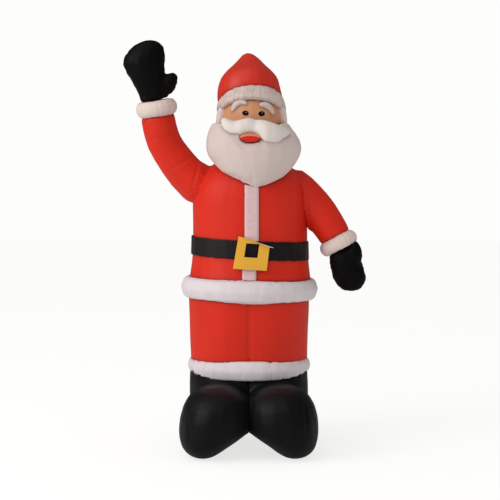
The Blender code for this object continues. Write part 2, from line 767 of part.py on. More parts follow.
def build_legs(coat):
    trousers = make_trousers()
    make_boot("right_boot", -1)
    make_boot("left_boot", 1)
    hem = make_roll("hem_trim", Vector((-0.003, 0, HEM_TRIM_Z)), HEM_TRIM_HALF_WIDTH,
                    HEM_TRIM_HALF_DEPTH, HEM_TRIM_HEIGHT, HEM_TRIM_THICKNESS,
                    Matrix.Rotation(HEM_TRIM_TILT, 4, "Y"), WHITE, 28, 8)
    seat(hem, coat, trousers)
    cuff = make_roll("trouser_trim", Vector((LEGS_X, 0, TROUSER_TRIM_Z)), TROUSER_TRIM_HALF_WIDTH,
                     TROUSER_TRIM_HALF_DEPTH, TROUSER_TRIM_HEIGHT, TROUSER_TRIM_THICKNESS,
                     Matrix(), WHITE, 28, 7)
    ankle = make_ankle()
    seat(cuff, ankle, trousers)
    bpy.data.objects.remove(ankle, do_unlink=True)
    return hem


def build_arms(coat):
    right_sleeve = make_sleeve("right_sleeve", RIGHT_SLEEVE)
    left_sleeve = make_sleeve("left_sleeve", LEFT_SLEEVE)
    seat(right_sleeve, coat)
    seat(left_sleeve, coat)
    right_cuff = make_cuff("right_cuff", RIGHT_SLEEVE, RIGHT_CUFF_LENGTH, RIGHT_CUFF_RADIUS)
    left_cuff = make_cuff("left_cuff", LEFT_SLEEVE, LEFT_CUFF_LENGTH, LEFT_CUFF_RADIUS)
    right_mitten = make_mitten("right_mitten", RIGHT_MITTEN_EDGES, RIGHT_MITTEN_Y,
                               RIGHT_MITTEN_HALF_DEPTH, RIGHT_THUMB)
    left_mitten = make_mitten("left_mitten", LEFT_MITTEN_EDGES, LEFT_MITTEN_Y,
                              LEFT_MITTEN_HALF_DEPTH, LEFT_THUMB)
    seat(right_mitten, right_cuff)
    seat(left_mitten, left_cuff)
    return right_sleeve, left_sleeve


def build_head(coat, sleeves):
    face = make_head_part("face", 0.0, True, SKIN)
    hair = make_head_part("hair", HAIR_PUFF, False, WARM_WHITE)
    seat(face, coat)
    seat(hair, coat)
    brim = make_roll("hat_brim", BRIM_CENTRE, BRIM_HALF_WIDTH, BRIM_HALF_DEPTH, BRIM_HEIGHT,
                     BRIM_THICKNESS, Matrix.Rotation(-BRIM_TILT, 4, "X"), WARM_WHITE, 24, 7)
    hat = make_hat()
    beard = make_beard()
    seat(brim, face, hair, hat)
    mouth = make_mouth()
    seat(mouth, face)
    seat(beard, coat, face, hair, brim, mouth, *sleeves)
    moustache = make_moustache()
    seat(moustache, face, beard)
    cut_again(moustache, beard)
    seat(mouth, moustache)
    cut_again(mouth, moustache)
    for name, points in (("right_eyebrow", RIGHT_EYEBROW), ("left_eyebrow", LEFT_EYEBROW)):
        seat(make_eyebrow(name, points), face, brim)
    return beard


def build_coat_details(coat, hem, beard):
    belt = make_belt()
    seat(belt, coat)
    half_belt = BELT_HEIGHT / 2 - FRONT_TRIM_TUCK
    upper = make_front_trim("front_trim_upper", FRONT_TRIM_UPPER_X, BELT_Z + half_belt,
                            FRONT_TRIM_TOP_Z)
    lower = make_front_trim("front_trim_lower", FRONT_TRIM_LOWER_X, COAT_BOTTOM_Z + 0.01,
                            BELT_Z - half_belt)
    seat(upper, coat, belt, beard)
    seat(lower, coat, belt, hem)
    buckle = make_buckle()
    seat(buckle, belt, upper, lower)


def stand_on_origin():
    """Hang every piece on one empty, so that the box's middle is over the origin."""
    corners = [piece.matrix_world @ Vector(corner)
               for piece in PIECES.objects for corner in piece.bound_box]
    low = Vector([min(corner[axis] for corner in corners) for axis in range(3)])
    high = Vector([max(corner[axis] for corner in corners) for axis in range(3)])
    carrier = bpy.data.objects.new("figure_axis", None)
    carrier.location = (-(low.x + high.x) / 2, -(low.y + high.y) / 2, -low.z)
    pieces = list(PIECES.objects)
    PIECES.objects.link(carrier)
    for piece in pieces:
        piece.parent = carrier


def main():
    coat = make_coat()
    hem = build_legs(coat)
    sleeves = build_arms(coat)
    beard = build_head(coat, sleeves)
    build_coat_details(coat, hem, beard)
    bpy.context.view_layer.update()
    stand_on_origin()


main()
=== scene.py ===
import math

import bmesh
import bpy
from bpy.props import FloatProperty, FloatVectorProperty, IntProperty, PointerProperty
from mathutils import Matrix, Vector, noise
from mathutils.bvhtree import BVHTree


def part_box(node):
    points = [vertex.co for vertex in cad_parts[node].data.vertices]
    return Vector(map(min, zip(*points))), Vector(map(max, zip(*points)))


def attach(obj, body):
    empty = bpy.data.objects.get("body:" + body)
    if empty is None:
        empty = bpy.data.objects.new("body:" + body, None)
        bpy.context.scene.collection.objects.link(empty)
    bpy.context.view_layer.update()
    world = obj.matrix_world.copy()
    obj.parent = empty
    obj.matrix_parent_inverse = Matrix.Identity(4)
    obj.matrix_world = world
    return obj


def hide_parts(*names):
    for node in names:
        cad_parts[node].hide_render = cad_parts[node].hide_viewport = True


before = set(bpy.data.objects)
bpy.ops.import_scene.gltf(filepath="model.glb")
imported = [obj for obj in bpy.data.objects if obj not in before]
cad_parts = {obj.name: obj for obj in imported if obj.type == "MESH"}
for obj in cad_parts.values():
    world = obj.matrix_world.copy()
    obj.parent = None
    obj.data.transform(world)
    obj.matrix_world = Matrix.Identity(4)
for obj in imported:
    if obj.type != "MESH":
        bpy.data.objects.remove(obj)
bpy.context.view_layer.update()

bl_info = {
    "name": "Inflatable santa",
    "version": (1, 0, 0),
    "blender": (4, 5, 0),
    "location": "3D View > Sidebar > Santa",
    "description": "Dresses the air-filled garden santa in sewn cloth, piece by piece",
    "category": "Object",
}

FIGURE_X, FIGURE_Y = ((a + b) / 2 for a, b in zip(*(tuple(c)[:2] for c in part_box("coat"))))


# Sizes and colours that a user would change

def colour(name, default, text):
    return FloatVectorProperty(name=name, description=text, default=default, size=3,
                               min=0.0, max=1.0, subtype="COLOR")


def length(name, default, text):
    return FloatProperty(name=name, description=text, default=default, min=0.0, max=20.0,
                         unit="LENGTH", precision=4)


class ClothColours(bpy.types.PropertyGroup):
    red: colour("Suit red", (0.600, 0.015, 0.002), "Coat, trousers and sleeves")
    hat_red: colour("Hat red", (0.560, 0.017, 0.003), "The hat's thin red cloth")
    white: colour("Trim white", (0.640, 0.580, 0.600), "The rolls of the hem and trousers")
    brim: colour("Brim white", (0.650, 0.530, 0.485), "Brim, cuffs and hair")
    band: colour("Band white", (0.620, 0.430, 0.430), "The flat band down the coat")
    beard: colour("Beard white", (0.575, 0.470, 0.440), "Beard cloth")
    moustache: colour("Moustache white", (0.670, 0.600, 0.560), "Moustache and eyebrows")
    skin: colour("Skin", (0.570, 0.265, 0.135), "Face cloth")
    lip: colour("Lip red", (0.580, 0.012, 0.006), "Mouth")
    glove: colour("Glove black", (0.0028, 0.0027, 0.0025), "Mittens")
    boot: colour("Boot black", (0.0040, 0.0036, 0.0048), "Boots")
    belt: colour("Belt black", (0.0070, 0.0045, 0.0045), "Belt")
    buckle: colour("Buckle yellow", (0.700, 0.360, 0.032), "Buckle cloth")


class ClothSizes(bpy.types.PropertyGroup):
    large_grid: length("Large grid", 0.014, "Grid of the coat and trousers")
    middle_grid: length("Middle grid", 0.010, "Grid of the sleeves, boots, beard, hair and hat")
    roll_grid: length("Roll grid", 0.008, "Grid of the two big rolls")
    small_grid: length("Small grid", 0.006, "Grid of the face, mittens, cuffs, brim and moustache")
    band_grid: length("Band grid", 0.0045, "Grid of the belt and the front bands")
    gather_depth: length("Gather depth", 0.004, "How deep the gathers beside a seam are")
    gather_pitch: length("Gather pitch", 0.016, "Distance from gather to gather")
    thread: length("Thread", 0.0012, "Pitch of the woven threads")
    eye_width: length("Eye width", 0.038, "Width of a printed eye")
    eye_height: length("Eye height", 0.029, "Height of a printed eye")
    puff_cap: length("Puff cap", 0.005, "Furthest that air moves a point of the cloth")
    puff_pressure: FloatProperty(name="Puff pressure", description="Pressure of the air",
                                 default=4.0, min=0.0, max=20.0)
    puff_frames: IntProperty(name="Puff frames", default=20, min=1, max=60,
                             description="Steps of the simulation that fills a piece")


class StudioSizes(bpy.types.PropertyGroup):
    camera_distance: length("Camera distance", 8.32, "From the lens to the figure's middle")
    camera_height: length("Camera height", 1.736, "Height of the lens above the floor")
    lens_mm: FloatProperty(name="Lens", description="Focal length in millimetres", default=100.2,
                           min=20.0, max=300.0)
    horizon_drop: FloatProperty(name="Tilt", description="How far the camera looks down",
                                default=math.atan2(95, 1392), min=0.0, max=0.5,
                                subtype="ANGLE")
    floor_size: length("Floor size", 20.0, "Half width of the pale floor")
    floor_glow: FloatProperty(name="Floor glow", description="Brightness the floor adds itself",
                              default=0.745, min=0.0, max=1.0)
    air_light: FloatProperty(name="Air light", description="Even light from all sides",
                             default=0.56, min=0.0, max=2.0)
    dark_mirror: FloatProperty(name="Dark room", description="Share of the even light that "
                               "glossy cloth doesn't mirror", default=0.85, min=0.0, max=1.0)
    sky_light: FloatProperty(name="Sky panel", description="Light of the wide panel overhead",
                             default=1.0, min=0.0, max=10.0)
    key_watts: FloatProperty(name="Key light", description="Power of the light at upper left",
                             default=190.0, min=0.0, max=3000.0, unit="POWER")


# Darker cloth colours for the dark seam lines, and for the painted shade in the crease beside a
# seam, where the seam draws the cloth in

RED_SEAM_AND_SHADE = (0.26, 0.010, 0.005)
WHITE_SEAM_AND_SHADE = (0.42, 0.22, 0.22)
BLACK_SEAM_AND_SHADE = (0.002, 0.002, 0.002)


# Mesh tools

def only(*objects):
    """Leave just these objects selected, the first of them active."""
    bpy.ops.object.select_all(action="DESELECT")
    for item in objects:
        item.select_set(True)
    bpy.context.view_layer.objects.active = objects[0]


def apply_modifier(piece, kind, **values):
    only(piece)
    modifier = piece.modifiers.new(kind.title(), kind)
    for key, value in values.items():
        setattr(modifier, key, value)
    bpy.ops.object.modifier_apply(modifier=modifier.name)


def tree(mesh):
    """A search tree of a mesh's faces."""
    return BVHTree.FromPolygons([v.co for v in mesh.vertices],
                                [tuple(p.vertices) for p in mesh.polygons])


def cloth_copy(node, grid, smooth):
    """Copy a CAD solid, close it, give it an even grid and smooth its facets away."""
    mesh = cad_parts[node].data.copy()
    bm = bmesh.new()
    bm.from_mesh(mesh)
    bmesh.ops.remove_doubles(bm, verts=bm.verts, dist=0.00002)
    bm.to_mesh(mesh)
    bm.free()
    mesh.materials.clear()
    piece = bpy.data.objects.new(node + "_cloth", mesh)
    bpy.context.scene.collection.objects.link(piece)
    apply_modifier(piece, "REMESH", mode="VOXEL", voxel_size=grid, use_smooth_shade=True)
    apply_modifier(piece, "SMOOTH", factor=0.5, iterations=smooth)
    return piece


def push(piece, amount):
    """Move every vertex along its normal by amount(place, normal), in metres."""
    normals = [v.normal.copy() for v in piece.data.vertices]
    for vertex, normal in zip(piece.data.vertices, normals):
        vertex.co += normal * amount(vertex.co, normal)
    piece.data.update()


def shade_smooth(piece):
    only(piece)
    bpy.ops.object.shade_smooth()


def nearness(piece, neighbours, reach):
    """For each vertex, 1 beside the seam with a neighbour and 0 further off than reach."""
    trees = [tree(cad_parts[node].data) for node in neighbours]
    values = []
    for vertex in piece.data.vertices:
        best = reach
        for item in trees:
            hit = item.find_nearest(vertex.co, best)
            if hit[0] is not None:
                best = min(best, hit[3])
        values.append(1.0 - best / reach)
    return values


def mark_seams(piece, neighbours, reach=0.03):
    """Store how near each vertex is to a seam, for the cloth material to read."""
    values = nearness(piece, neighbours, reach) if neighbours else [0.0] * len(piece.data.vertices)
    layer = piece.data.attributes.new("seam", "FLOAT", "POINT")
    layer.data.foreach_set("value", values)


# noise cells in the pitch of one fold
FOLD_CELLS = 0.62


def valley(place, sharp):
    """0 on a ridge and -1 in a valley, where the noise passes through zero."""
    return -max(0.0, 1.0 - abs(noise.noise(Vector(place))) / sharp)


def fold(place, pitch, seed, sharp=0.28):
    """One narrow valley after another along a line."""
    return valley((place / pitch * FOLD_CELLS, seed, 0.37), sharp)


def ring_fold(angle, radius, pitch, seed, sharp=0.28):
    """The same folds laid round a ring, so that they close on themselves."""
    turn = radius / pitch * FOLD_CELLS
    return valley((math.cos(angle) * turn, math.sin(angle) * turn, seed), sharp)


def soft_bumps(place, size, seed):
    """A slow rise and fall of the cloth, from -1 to 1."""
    return noise.noise(place / size + Vector((seed, seed * 1.7, 0.0)))


def fill_hollows(piece, rounds):
    """Air pushes hollows out: only places that lie lower than those around them move."""
    bm = bmesh.new()
    bm.from_mesh(piece.data)
    for _ in range(rounds):
        bm.normal_update()
        moves = []
        for vertex in bm.verts:
            around = [edge.other_vert(vertex).co for edge in vertex.link_edges]
            offset = sum(around, Vector()) / len(around) - vertex.co
            moves.append(max(0.0, offset.dot(vertex.normal)))
        for vertex, move in zip(bm.verts, moves):
            vertex.co += vertex.normal * move
    bm.to_mesh(piece.data)
    bm.free()
    piece.data.update()


def sew_on(piece, name, reach):
    """Draw the rim of a piece down on to the dressed one that it is sewn to."""
    other = tree(bpy.data.objects[name].data)
    for vertex in piece.data.vertices:
        place, normal, _, away = other.find_nearest(vertex.co, reach)
        if place is not None:
            pull = 1.0 - (away / reach) ** 2
            vertex.co = vertex.co.lerp(place - normal * 0.0006, pull)
    piece.data.update()


def upper_colour(material, paint, height, bow):
    """Give the part of a piece above a bowed line another colour."""
    nodes, links = material.node_tree.nodes, material.node_tree.links
    base = nodes["Principled BSDF"].inputs["Base Color"]
    split = put(nodes, "ShaderNodeSeparateXYZ")
    links.new(put(nodes, "ShaderNodeTexCoord").outputs["Object"], split.inputs[0])
    aside = maths(nodes, links, "SUBTRACT", split.outputs["X"], FIGURE_X)
    rise = maths(nodes, links, "MULTIPLY", maths(nodes, links, "MULTIPLY", aside, aside), bow)
    edge = put(nodes, "ShaderNodeMapRange", interpolation_type="SMOOTHSTEP",
               from_min=height - 0.001, from_max=height + 0.001)
    links.new(maths(nodes, links, "ADD", split.outputs["Z"], rise), edge.inputs["Value"])
    mix = put(nodes, "ShaderNodeMix", data_type="RGBA")
    links.new(edge.outputs["Result"], mix.inputs["Factor"])
    links.new(base.links[0].from_socket, mix.inputs["A"])
    mix.inputs["B"].default_value = [*paint, 1.0]
    links.new(mix.outputs["Result"], base)


def crease_line(co, start, end, width, depth):
    """A narrow valley along the line between two places seen from the front, in x and z."""
    along = Vector((end[0] - start[0], end[1] - start[1]))
    offset = Vector((co.x - FIGURE_X - start[0], co.z - start[1]))
    share = offset.dot(along) / along.length_squared
    across = abs(offset.x * along.y - offset.y * along.x) / along.length
    ends = max(0.0, 1.0 - abs(share - 0.5) ** 4 * 16.0)
    return -depth * ends * math.exp(-(across / width) ** 2)


# Shader groups: each gives a value or a mask that changes over the cloth

def new_group(name, inputs, outputs):
    group = bpy.data.node_groups.new(name, "ShaderNodeTree")
    for label, kind, value in inputs:
        socket = group.interface.new_socket(name=label, in_out="INPUT", socket_type=kind)
        if value is not None:
            socket.default_value = value
    for label, kind in outputs:
        group.interface.new_socket(name=label, in_out="OUTPUT", socket_type=kind)
    start = group.nodes.new("NodeGroupInput")
    end = group.nodes.new("NodeGroupOutput")
    return group, start, end


def put(nodes, kind, **values):
    """Add a shader node, with its settings and its unlinked sockets by name."""
    node = nodes.new(kind)
    for key, value in values.items():
        if hasattr(node, key):
            setattr(node, key, value)
        else:
            node.inputs[key.replace("_", " ").title()].default_value = value
    return node


def maths(nodes, links, operation, first, second):
    node = nodes.new("ShaderNodeMath")
    node.operation = operation
    for socket, value in zip(node.inputs, (first, second)):
        if isinstance(value, (int, float)):
            socket.default_value = value
        else:
            links.new(value, socket)
    return node.outputs[0]


def weave_group():
    """Plain weave: two families of threads that pass over and under each other."""
    group, start, end = new_group(
        "cloth_weave",
        [("Place", "NodeSocketVector", None), ("Thread", "NodeSocketFloat", 0.0012)],
        [("Height", "NodeSocketFloat")])
    nodes, links = group.nodes, group.links
    split = put(nodes, "ShaderNodeSeparateXYZ")
    links.new(start.outputs["Place"], split.inputs[0])
    across = maths(nodes, links, "ADD", split.outputs["X"], split.outputs["Y"])
    turn = maths(nodes, links, "DIVIDE", 2 * math.pi, start.outputs["Thread"])
    warp = maths(nodes, links, "SINE", maths(nodes, links, "MULTIPLY", across, turn), 0.0)
    weft = maths(nodes, links, "SINE",
                 maths(nodes, links, "MULTIPLY", split.outputs["Z"], turn), 0.0)
    links.new(maths(nodes, links, "MULTIPLY", warp, weft), end.inputs["Height"])
    return group


def wrinkle_group():
    """Slack, shallow waves in the cloth, long one way and with finer ones on them."""
    group, start, end = new_group(
        "cloth_wrinkles",
        [("Place", "NodeSocketVector", None), ("Scale", "NodeSocketFloat", 8.0),
         ("Stretch", "NodeSocketVector", (1.0, 1.0, 1.0))],
        [("Height", "NodeSocketFloat"), ("Tone", "NodeSocketFloat")])
    nodes, links = group.nodes, group.links
    stretch = put(nodes, "ShaderNodeVectorMath", operation="MULTIPLY")
    links.new(start.outputs["Place"], stretch.inputs[0])
    links.new(start.outputs["Stretch"], stretch.inputs[1])
    slow = put(nodes, "ShaderNodeTexNoise", detail=2.0, roughness=0.45, distortion=0.4)
    fine = put(nodes, "ShaderNodeTexNoise", detail=3.0, roughness=0.5, distortion=1.2)
    for node, times in ((slow, 1.0), (fine, 4.2)):
        links.new(stretch.outputs[0], node.inputs["Vector"])
        links.new(maths(nodes, links, "MULTIPLY", start.outputs["Scale"], times),
                  node.inputs["Scale"])
    small = maths(nodes, links, "MULTIPLY", fine.outputs["Fac"], 0.22)
    links.new(maths(nodes, links, "ADD", slow.outputs["Fac"], small), end.inputs["Height"])
    links.new(slow.outputs["Fac"], end.inputs["Tone"])
    return group


def seam_group():
    """A dark line where two cloths meet, and a softer painted shade beside it."""
    group, start, end = new_group(
        "seam_shade",
        [("Nearness", "NodeSocketFloat", 0.0), ("Line", "NodeSocketFloat", 0.88)],
        [("Line", "NodeSocketFloat"), ("Shade", "NodeSocketFloat")])
    nodes, links = group.nodes, group.links
    line = put(nodes, "ShaderNodeMapRange", interpolation_type="SMOOTHSTEP", from_max=1.0)
    links.new(start.outputs["Nearness"], line.inputs["Value"])
    links.new(start.outputs["Line"], line.inputs["From Min"])
    shade = maths(nodes, links, "MULTIPLY", start.outputs["Nearness"],
                  start.outputs["Nearness"])
    links.new(line.outputs["Result"], end.inputs["Line"])
    links.new(shade, end.inputs["Shade"])
    return group


def crease_group():
    """Fine creases across a roll, deepest beside the seam that gathers it."""
    group, start, end = new_group(
        "gathered_creases",
        [("Around", "NodeSocketVector", (0.0, 0.0, 0.0)), ("Nearness", "NodeSocketFloat", 0.0),
         ("Creases", "NodeSocketFloat", 60.0)],
        [("Height", "NodeSocketFloat")])
    nodes, links = group.nodes, group.links
    streaks = put(nodes, "ShaderNodeTexNoise", detail=2.0, roughness=0.6)
    links.new(start.outputs["Around"], streaks.inputs["Vector"])
    links.new(start.outputs["Creases"], streaks.inputs["Scale"])
    ridge = put(nodes, "ShaderNodeMapRange", interpolation_type="SMOOTHSTEP", from_min=0.36,
                from_max=0.60)
    links.new(streaks.outputs["Fac"], ridge.inputs["Value"])
    slack = maths(nodes, links, "ADD", start.outputs["Nearness"], 0.3)
    links.new(maths(nodes, links, "MULTIPLY", ridge.outputs["Result"], slack),
              end.inputs["Height"])
    return group


def place_group(nodes, name, maker):
    """Add a shared group to a material, and make it first if it isn't there."""
    node = nodes.new("ShaderNodeGroup")
    node.node_tree = bpy.data.node_groups.get(name) or maker()
    return node


def cloth(name, base, seam, roughness=0.55, sheen=0.03, tone=0.14, wrinkle=(7.0, 0.006),
          stretch=(1.0, 1.0, 0.55), shade=0.18, line=0.60, gloss=0.25, gather=0.0):
    """Thin woven polyester: base colour, the darker colour of its seam line and of the painted
    shade beside its seams, its slack waves as (waves in a metre, their height), how much
    painted shade the seams lay on it, how dark their line is and the height of the small
    creases gathered into a seam."""
    material = bpy.data.materials.new(name)
    material.use_nodes = True
    nodes, links = material.node_tree.nodes, material.node_tree.links
    shader = nodes["Principled BSDF"]
    sizes = bpy.context.scene.santa_sizes
    place = put(nodes, "ShaderNodeTexCoord").outputs["Object"]
    waves = place_group(nodes, "cloth_wrinkles", wrinkle_group)
    waves.inputs["Scale"].default_value = wrinkle[0]
    waves.inputs["Stretch"].default_value = stretch
    links.new(place, waves.inputs["Place"])
    weave = place_group(nodes, "cloth_weave", weave_group)
    weave.inputs["Thread"].default_value = sizes.thread
    links.new(place, weave.inputs["Place"])
    seams = place_group(nodes, "seam_shade", seam_group)
    near = put(nodes, "ShaderNodeAttribute", attribute_name="seam")
    links.new(near.outputs["Fac"], seams.inputs["Nearness"])

    variation = put(nodes, "ShaderNodeMix", data_type="RGBA")
    links.new(waves.outputs["Tone"], variation.inputs["Factor"])
    variation.inputs["A"].default_value = [c * (1.0 - tone) for c in base] + [1.0]
    variation.inputs["B"].default_value = [min(c * (1.0 + tone), 1.0) for c in base] + [1.0]
    # painted shade: the colour darkens towards the seam colour beside a seam, where one piece
    # meets another
    beside = put(nodes, "ShaderNodeMix", data_type="RGBA")
    links.new(maths(nodes, links, "MULTIPLY", seams.outputs["Shade"], shade),
              beside.inputs["Factor"])
    links.new(variation.outputs["Result"], beside.inputs["A"])
    beside.inputs["B"].default_value = [*seam, 1.0]
    stitched = put(nodes, "ShaderNodeMix", data_type="RGBA")
    links.new(maths(nodes, links, "MULTIPLY", seams.outputs["Line"], line),
              stitched.inputs["Factor"])
    links.new(beside.outputs["Result"], stitched.inputs["A"])
    stitched.inputs["B"].default_value = [*seam, 1.0]
    links.new(stitched.outputs["Result"], shader.inputs["Base Color"])

    rough = put(nodes, "ShaderNodeMapRange", to_min=roughness - 0.05, to_max=roughness + 0.06)
    links.new(waves.outputs["Tone"], rough.inputs["Value"])
    links.new(rough.outputs["Result"], shader.inputs["Roughness"])

    broad = put(nodes, "ShaderNodeBump", strength=0.5, distance=wrinkle[1])
    links.new(waves.outputs["Height"], broad.inputs["Height"])
    if gather:
        creases = place_group(nodes, "gathered_creases", crease_group)
        creases.inputs["Creases"].default_value = 1.8 / sizes.gather_pitch
        around = put(nodes, "ShaderNodeAttribute", attribute_name="around")
        links.new(around.outputs["Vector"], creases.inputs["Around"])
        links.new(near.outputs["Fac"], creases.inputs["Nearness"])
        drawn = put(nodes, "ShaderNodeBump", strength=1.0, distance=gather)
        links.new(creases.outputs["Height"], drawn.inputs["Height"])
        links.new(drawn.outputs["Normal"], broad.inputs["Normal"])
    fine = put(nodes, "ShaderNodeBump", strength=0.25, distance=sizes.thread * 0.2)
    links.new(weave.outputs["Height"], fine.inputs["Height"])
    links.new(broad.outputs["Normal"], fine.inputs["Normal"])
    links.new(fine.outputs["Normal"], shader.inputs["Normal"])
    shader.inputs["Sheen Weight"].default_value = sheen
    shader.inputs["Sheen Roughness"].default_value = 0.4
    shader.inputs["Specular IOR Level"].default_value = gloss
    return material


def fill_with_air(piece, material, slot, node, neighbours, reach=0.03):
    """Round off a piece that air keeps tight, mark its seams and dress it."""
    apply_modifier(piece, "SUBSURF", levels=1, render_levels=1)
    shade_smooth(piece)
    mark_seams(piece, neighbours, reach)
    dress(piece, material, slot, node)


def dress(piece, material, slot, *nodes):
    """Give a finished piece its cloth and body, and hide the CAD nodes it stands for."""
    piece.data.materials.clear()
    piece.data.materials.append(material)
    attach(piece, "root")
    if nodes:
        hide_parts(*nodes)


# Where the sewn pieces sit, in metres, read from the CAD boxes

def middle(node):
    low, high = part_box(node)
    return (Vector(low) + Vector(high)) / 2


def extent(node):
    low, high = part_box(node)
    return Vector(high) - Vector(low)


def angle_about(place, centre, across, along):
    """Angle of a place round a centre, in the plane of two directions."""
    offset = place - centre
    return math.atan2(offset.dot(along), offset.dot(across))


def gathered_ring(piece, centre, axis, radius, neighbours, sizes, seed, reach=0.04,
                  everywhere=0.25, pitch=1.0, depth=1.0):
    """Gathers round a fluffed roll: deepest beside the seams that draw it in."""
    axis = Vector(axis).normalized()
    across = axis.orthogonal().normalized()
    along = axis.cross(across)
    near = nearness(piece, neighbours, reach)
    normals = [v.normal.copy() for v in piece.data.vertices]
    for vertex, normal, strength in zip(piece.data.vertices, normals, near):
        angle = angle_about(vertex.co, centre, across, along)
        pull = everywhere + (1.0 - everywhere) * strength
        fine = ring_fold(angle, radius, sizes.gather_pitch * pitch, seed)
        coarse = ring_fold(angle, radius, sizes.gather_pitch * pitch * 3.1, seed + 5.0, 0.2)
        vertex.co += normal * sizes.gather_depth * depth * pull * (0.6 * fine + 0.7 * coarse)
    piece.data.update()


def mark_gathers(piece, centre, axis, radius, squeeze=0.12):
    """Store places on a flattened ring, where one crease runs right across the roll."""
    axis = Vector(axis).normalized()
    places = []
    for vertex in piece.data.vertices:
        offset = vertex.co - centre
        height = offset.dot(axis)
        outward = offset - axis * height
        places.extend(outward.normalized() * radius + axis * height * squeeze)
    layer = piece.data.attributes.new("around", "FLOAT_VECTOR", "POINT")
    layer.data.foreach_set("vector", places)


def puff(piece, sizes):
    """Fill a sewn piece with air as cloth under pressure, and cap how far a point moves."""
    start = [v.co.copy() for v in piece.data.vertices]
    air = piece.modifiers.new("air", "CLOTH")
    air.settings.use_pressure = True
    air.settings.uniform_pressure_force = sizes.puff_pressure
    air.settings.effector_weights.gravity = 0.0
    scene = bpy.context.scene
    for step in range(1, sizes.puff_frames + 1):
        scene.frame_set(step)
    blown = piece.evaluated_get(bpy.context.evaluated_depsgraph_get()).data
    moves = [end.co - first for end, first in zip(blown.vertices, start)]
    piece.modifiers.remove(air)
    for vertex, first, move in zip(piece.data.vertices, start, moves):
        vertex.co = first + move * min(1.0, sizes.puff_cap / max(move.length, 1e-9))
    piece.data.update()
    scene.frame_set(1)


class SANTA_OT_suit(bpy.types.Operator):
    """Sew the coat, the trousers and the two sleeves"""
    bl_idname = "santa.suit"
    bl_label = "Suit"

    def execute(self, context):
        sizes, colours = context.scene.santa_sizes, context.scene.santa_colours
        red = cloth("suit_cloth", colours.red, RED_SEAM_AND_SHADE, roughness=0.5, sheen=0.02,
                    gloss=0.24, wrinkle=(5.0, 0.010), stretch=(1.0, 1.0, 0.5))
        coat = cloth_copy("coat", sizes.large_grid, 8)
        push(coat, lambda co, n: 0.0035 * soft_bumps(co, 0.22, 3.0) - 0.0005)
        fill_with_air(coat, red, "suit_red", "coat",
                      ["belt", "hem_trim", "front_trim_upper", "front_trim_lower", "beard"])

        trousers = cloth_copy("trousers", sizes.large_grid, 5)
        crease_x = FIGURE_X - 0.003

        def crease(co, normal):
            front = max(0.0, -normal.y)
            line = math.exp(-((co.x - crease_x) / 0.009) ** 2)
            return -0.012 * line * front + 0.0035 * soft_bumps(co, 0.20, 8.0)
        push(trousers, crease)
        fill_with_air(trousers, red, "suit_red", "trousers", ["hem_trim", "trouser_trim"])

        # where the bent sleeves crease: two ends of each line, across and up
        creases = (((-0.590, 1.826), (-0.440, 1.842)), ((-0.470, 1.652), (-0.345, 1.722)),
                   ((-0.300, 1.690), (-0.352, 1.505)), ((0.345, 1.555), (0.335, 1.390)),
                   ((0.330, 1.420), (0.440, 1.430)))

        def sleeve_folds(co, normal):
            lines = sum(crease_line(co, *line, 0.007, 0.006) for line in creases)
            return lines * max(0.0, -normal.y) + 0.003 * soft_bumps(co, 0.15, 12.0)
        for side in ("right", "left"):
            sleeve = cloth_copy(side + "_sleeve", sizes.middle_grid, 8)
            sew_on(sleeve, "coat_cloth", 0.030)
            push(sleeve, sleeve_folds)
            fill_with_air(sleeve, red, "suit_red", side + "_sleeve", [side + "_cuff", "beard"])
        return {"FINISHED"}


class SANTA_OT_rolls(bpy.types.Operator):
    """Fill and gather the white rolls: hem, trousers, cuffs and hat brim"""
    bl_idname = "santa.rolls"
    bl_label = "White rolls"

    def execute(self, context):
        sizes, colours = context.scene.santa_sizes, context.scene.santa_colours
        white, warm, plain = (
            cloth(name, base, WHITE_SEAM_AND_SHADE, roughness=0.6, tone=0.05, wrinkle=wrinkle,
                  stretch=(1.0, 1.0, 1.0), gather=gather)
            for name, base, wrinkle, gather in (
                ("roll_cloth", colours.white, (14.0, 0.005), 0.0013),
                ("brim_cloth", colours.brim, (14.0, 0.005), 0.0040),
                ("cuff_cloth", colours.brim, (12.0, 0.006), 0.0012)))
        up = (0.0, 0.0, 1.0)
        rings = (
            ("hem_trim", ["coat", "trousers"], 2.0, 0.4),
            ("trouser_trim", ["trousers", "left_boot", "right_boot"], 2.6, 0.5),
        )
        for node, neighbours, pitch, depth in rings:
            roll = cloth_copy(node, sizes.roll_grid, 14)
            for other in neighbours[:1 if node == "trouser_trim" else 2]:
                sew_on(roll, other + "_cloth", 0.012)
            radius = extent(node).x / 2
            gathered_ring(roll, middle(node), up, radius, neighbours, sizes,
                          len(node), reach=0.06, pitch=pitch, depth=depth)
            fill_with_air(roll, white, "trim_white", node, neighbours, 0.05)
            mark_gathers(roll, middle(node), up, radius)
        for side in ("right", "left"):
            node = side + "_cuff"
            beside = [side + "_sleeve", side + "_mitten"]
            cuff = cloth_copy(node, sizes.small_grid, 6)
            sew_on(cuff, side + "_sleeve_cloth", 0.010)
            arm = middle(side + "_mitten") - middle(node)
            radius = extent(node).x / 2
            gathered_ring(cuff, middle(node), arm, radius, beside, sizes, len(side) * 3.0,
                          reach=0.05, pitch=1.3, depth=0.8)
            fill_with_air(cuff, plain, "trim_white", node, beside, 0.05)
            mark_gathers(cuff, middle(node), arm, radius)

        lean = (0.0, -0.43, 0.90)
        radius = extent("hat_brim").x / 2
        brim = cloth_copy("hat_brim", sizes.small_grid, 6)
        brim_x = middle("hat_brim").x
        for vertex in brim.data.vertices:
            vertex.co.z -= 0.020 * abs((vertex.co.x - brim_x) / radius) ** 3
        gathered_ring(brim, middle("hat_brim"), lean, radius, ["hat", "face", "hair"], sizes,
                      4.0, reach=0.06, everywhere=0.5, depth=0.6)
        fill_with_air(brim, warm, "trim_white", "hat_brim", ["hat", "face", "hair", "beard"],
                      0.06)
        mark_gathers(brim, middle("hat_brim"), lean, radius)
        return {"FINISHED"}


